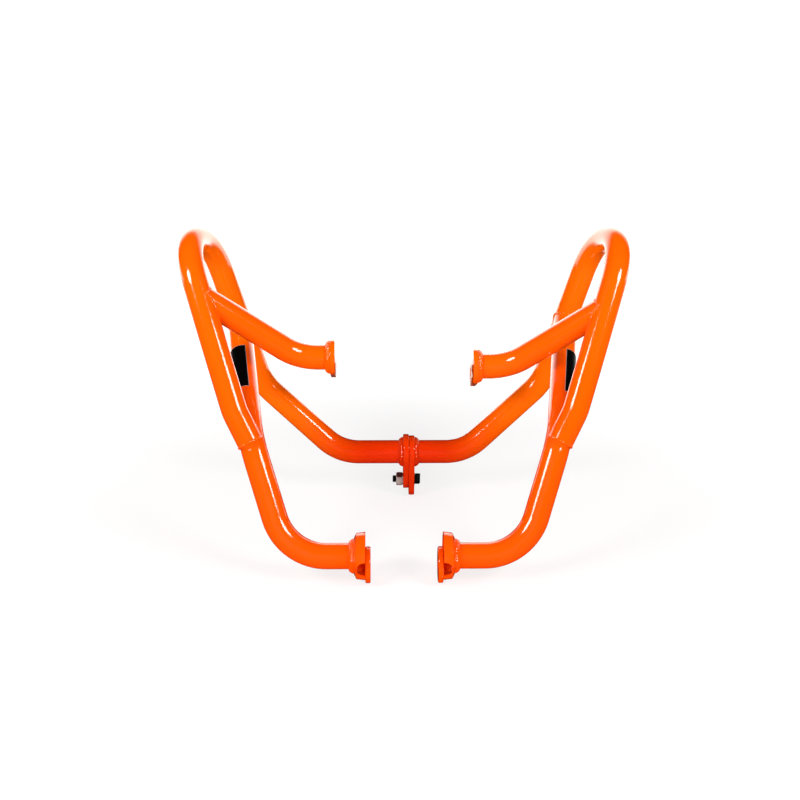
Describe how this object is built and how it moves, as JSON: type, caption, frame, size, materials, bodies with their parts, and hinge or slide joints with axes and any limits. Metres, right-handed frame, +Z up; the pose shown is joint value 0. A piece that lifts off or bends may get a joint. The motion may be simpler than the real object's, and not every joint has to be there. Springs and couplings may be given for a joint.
{
  "type": "motorcycle crash bars",
  "caption": "Pair of bent steel tube crash bars for a motorcycle, bolted together behind at a crossbar, with welded mount plates at the ends.",
  "frame": {"origin": "on the floor, in the middle plane between the two halves, midway between the foremost and the rearmost point", "axes": "+X to the right half as seen from the front, +Y to the back towards the crossbar, +Z up"},
  "size_m": [0.442, 0.2479, 0.3074],
  "materials": {
    "powder_coat": "gloss orange powder coat",
    "blackened_steel": "satin black oxide",
    "zinc_plating": "dull zinc plating",
    "sticker_black": "gloss black film"
  },
  "bodies": {
    "root": {"left_hoop_tube": "powder_coat", "right_hoop_tube": "powder_coat", "left_brace_tube": "powder_coat", "right_brace_tube": "powder_coat", "left_upper_arm": "powder_coat", "right_upper_arm": "powder_coat", "left_upper_mount_plate": "powder_coat", "right_upper_mount_plate": "powder_coat", "left_lower_bracket": "powder_coat", "right_lower_bracket": "powder_coat", "left_lower_mount_plate": "powder_coat", "right_lower_mount_plate": "powder_coat", "left_centre_plate": "powder_coat", "right_centre_plate": "powder_coat", "left_front_leg_weld": "powder_coat", "right_front_leg_weld": "powder_coat", "left_brace_weld": "powder_coat", "right_brace_weld": "powder_coat", "left_arm_weld": "powder_coat", "right_arm_weld": "powder_coat", "left_upper_plate_weld": "powder_coat", "right_upper_plate_weld": "powder_coat", "left_lower_bracket_weld": "powder_coat", "right_lower_bracket_weld": "powder_coat", "left_centre_plate_weld": "powder_coat", "right_centre_plate_weld": "powder_coat", "joint_bolt": "blackened_steel", "joint_nut": "zinc_plating"}
  },
  "joints": []
}
